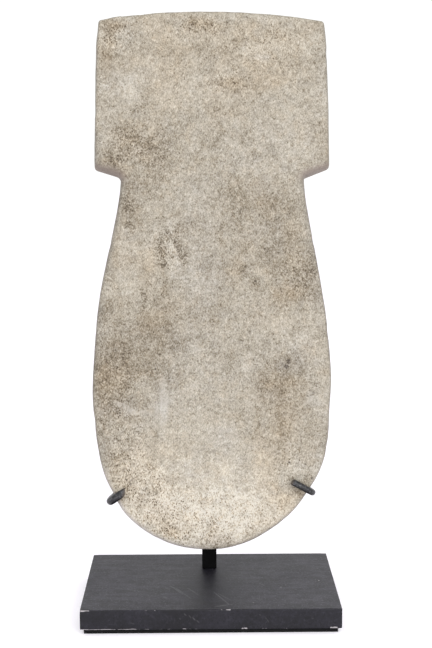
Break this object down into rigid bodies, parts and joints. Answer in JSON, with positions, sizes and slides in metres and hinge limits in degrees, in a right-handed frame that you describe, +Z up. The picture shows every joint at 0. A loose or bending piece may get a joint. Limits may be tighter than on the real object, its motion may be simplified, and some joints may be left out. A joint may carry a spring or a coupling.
{
  "type": "polished stone axe on a display stand",
  "caption": "Tall shouldered polished stone axe with a squared butt and a long oval blade, leaning back on a small dark stand with a post and two bent claws.",
  "frame": {"origin": "bottom centre of the whole part, on the surface that the stand's felt pad rests on", "axes": "+Z up along the height, +X to the right seen from the front, the broad front face of the axe looks towards -Y"},
  "size_m": [0.1524, 0.1016, 0.3597],
  "materials": {
    "stone": "speckled beige and grey stone, ground and softly polished, with brown stains and fine pits",
    "stand_paint": "dark grey satin paint with pale scratches along the front edge",
    "felt": "black felt pad",
    "post_paint": "black satin paint",
    "claw_paint": "dark grey satin paint, slightly worn"
  },
  "bodies": {
    "root": {"stone_axe": "stone", "stand_base": "stand_paint", "base_felt": "felt", "stand_post": "post_paint", "claw_left": "claw_paint", "claw_right": "claw_paint"}
  },
  "joints": []
}
